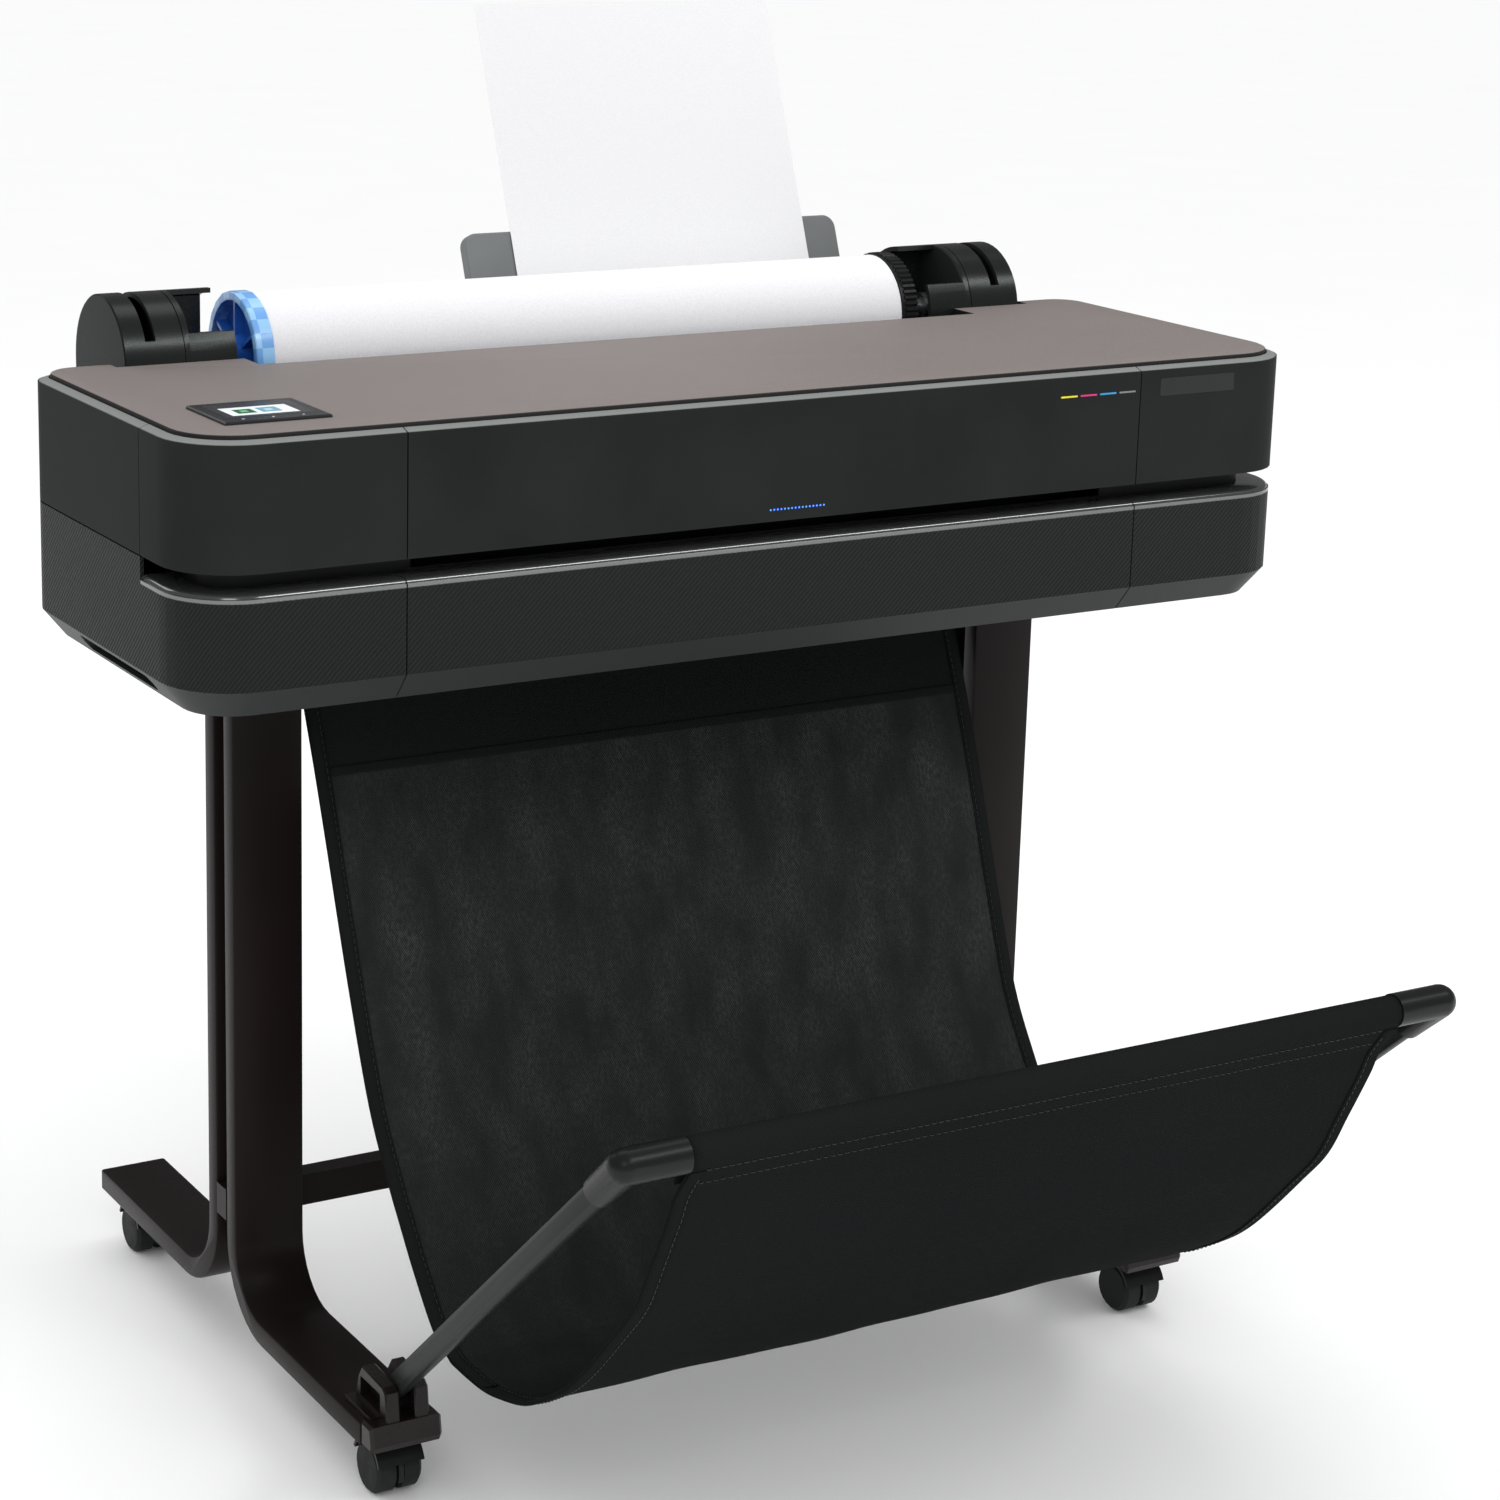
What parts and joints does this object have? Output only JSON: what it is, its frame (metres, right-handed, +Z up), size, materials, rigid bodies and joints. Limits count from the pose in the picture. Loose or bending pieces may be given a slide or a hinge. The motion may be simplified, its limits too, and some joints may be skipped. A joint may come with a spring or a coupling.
{
  "type": "large format plotter",
  "caption": "Wide inkjet plotter on a wheeled stand, with an open paper roll, a rear sheet feeder, a hinged front door and a hanging fabric bin.",
  "frame": {"origin": "on the floor, under the middle of the bounding box", "axes": "+X to the right seen from the front, +Y to the back, +Z up"},
  "size_m": [1.013, 0.9386, 1.0898],
  "materials": {
    "cover": "fine-grained moulded plastic, near black",
    "lower": "moulded plastic with fine diagonal ribs, near black",
    "top": "warm grey-brown plastic with a fine diamond texture",
    "gloss": "polished black bezel",
    "screen": "display window",
    "inner": "plain dark inner plastic",
    "leg": "satin brown-black powder coat",
    "bracket": "moulded brown-black plastic",
    "black": "moulded black plastic",
    "tube": "satin dark grey paint",
    "cloth": "black woven polyester",
    "paper": "white uncoated paper",
    "blue": "light blue moulded plastic",
    "steel": "plain sheet and turned steel",
    "tray": "mid grey moulded plastic",
    "holder": "dark grey satin plastic",
    "rubber": "black caster tread",
    "roller": "grit-coated rubber",
    "belt": "plain rubber belt",
    "board": "green circuit board and supply"
  },
  "bodies": {
    "stand": {"lower_cover_left": "lower", "lower_cover_right": "lower", "lower_panel": "lower", "base_tray": "inner", "slot_frame": "inner", "upper_cover_left": "cover", "side_panel_left": "cover", "upper_cover_right": "cover", "side_panel_right": "cover", "top_cover": "top", "touch_panel": "gloss", "touch_display": "screen", "roll_bay": "inner", "power_inlet": "black", "roll_holder_left": "holder", "roll_holder_right": "holder", "sheet_tray": "tray", "loaded_sheet": "paper", "leg_front_left": "leg", "leg_rear_left": "leg", "leg_front_right": "leg", "leg_rear_right": "leg", "cross_brace": "leg", "foot_bracket_left": "bracket", "foot_bracket_right": "bracket", "bin_rod": "tube", "bin_cloth_rear": "cloth", "chassis_left": "steel", "chassis_right": "steel", "guide_rod": "steel", "carriage_beam": "steel", "platen": "black", "drive_belt": "belt", "carriage_motor": "steel", "belt_idler": "steel", "ink_station": "black", "electronics": "board", "service_station": "black"},
    "door": {"front_door": "cover"},
    "roll": {"spindle": "steel", "flange_blue": "blue", "flange_black": "black", "paper_roll": "paper"},
    "feed": {"feed_roller": "roller"},
    "carriage": {"print_carriage": "black"},
    "guide": {"sheet_guide": "black"},
    "bin_frame": {"bin_bar": "tube", "bin_arm_left": "tube", "bin_arm_right": "tube", "bin_elbow_left": "black", "bin_elbow_right": "black", "bin_cloth_front": "cloth"},
    "swivel_front_left": {"caster_front_left": "black"},
    "swivel_front_right": {"caster_front_right": "black"},
    "swivel_rear_left": {"caster_rear_left": "black"},
    "swivel_rear_right": {"caster_rear_right": "black"},
    "wheel_front_left": {"wheels_front_left": "rubber"},
    "wheel_front_right": {"wheels_front_right": "rubber"},
    "wheel_rear_left": {"wheels_rear_left": "rubber"},
    "wheel_rear_right": {"wheels_rear_right": "rubber"}
  },
  "joints": [
    {"name": "door_hinge", "type": "hinge", "parent": "stand", "child": "door", "pos_m": [0, -0.07583, 0.8245], "axis": [-1, 0, 0], "range_deg": [0, 75]},
    {"name": "roll_spin", "type": "hinge", "parent": "stand", "child": "roll", "pos_m": [0.004, 0.28267, 0.824], "axis": [1, 0, 0], "continuous": true},
    {"name": "feed_spin", "type": "hinge", "parent": "stand", "child": "feed", "pos_m": [0, 0.11467, 0.712], "axis": [1, 0, 0], "continuous": true},
    {"name": "carriage_slide", "type": "slide", "parent": "stand", "child": "carriage", "axis": [1, 0, 0], "range_m": [0, 0.66]},
    {"name": "guide_slide", "type": "slide", "parent": "stand", "child": "guide", "axis": [-1, 0, 0], "range_m": [0, 0.022]},
    {"name": "bin_hinge", "type": "hinge", "parent": "stand", "child": "bin_frame", "pos_m": [0, -0.10933, 0.084], "axis": [-1, 0, 0], "range_deg": [0, 35]},
    {"name": "swivel_front_left", "type": "hinge", "parent": "stand", "child": "swivel_front_left", "pos_m": [-0.3573, -0.09333, 0.0467], "axis": [0, 0, 1], "continuous": true},
    {"name": "swivel_front_right", "type": "hinge", "parent": "stand", "child": "swivel_front_right", "pos_m": [0.3573, -0.09333, 0.0467], "axis": [0, 0, 1], "continuous": true},
    {"name": "swivel_rear_left", "type": "hinge", "parent": "stand", "child": "swivel_rear_left", "pos_m": [-0.3573, 0.40267, 0.0467], "axis": [0, 0, 1], "continuous": true},
    {"name": "swivel_rear_right", "type": "hinge", "parent": "stand", "child": "swivel_rear_right", "pos_m": [0.3573, 0.40267, 0.0467], "axis": [0, 0, 1], "continuous": true},
    {"name": "spin_front_left", "type": "hinge", "parent": "swivel_front_left", "child": "wheel_front_left", "pos_m": [-0.3573, -0.10533, 0.021], "axis": [1, 0, 0], "continuous": true},
    {"name": "spin_front_right", "type": "hinge", "parent": "swivel_front_right", "child": "wheel_front_right", "pos_m": [0.3573, -0.10533, 0.021], "axis": [1, 0, 0], "continuous": true},
    {"name": "spin_rear_left", "type": "hinge", "parent": "swivel_rear_left", "child": "wheel_rear_left", "pos_m": [-0.3573, 0.39067, 0.021], "axis": [1, 0, 0], "continuous": true},
    {"name": "spin_rear_right", "type": "hinge", "parent": "swivel_rear_right", "child": "wheel_rear_right", "pos_m": [0.3573, 0.39067, 0.021], "axis": [1, 0, 0], "continuous": true}
  ]
}
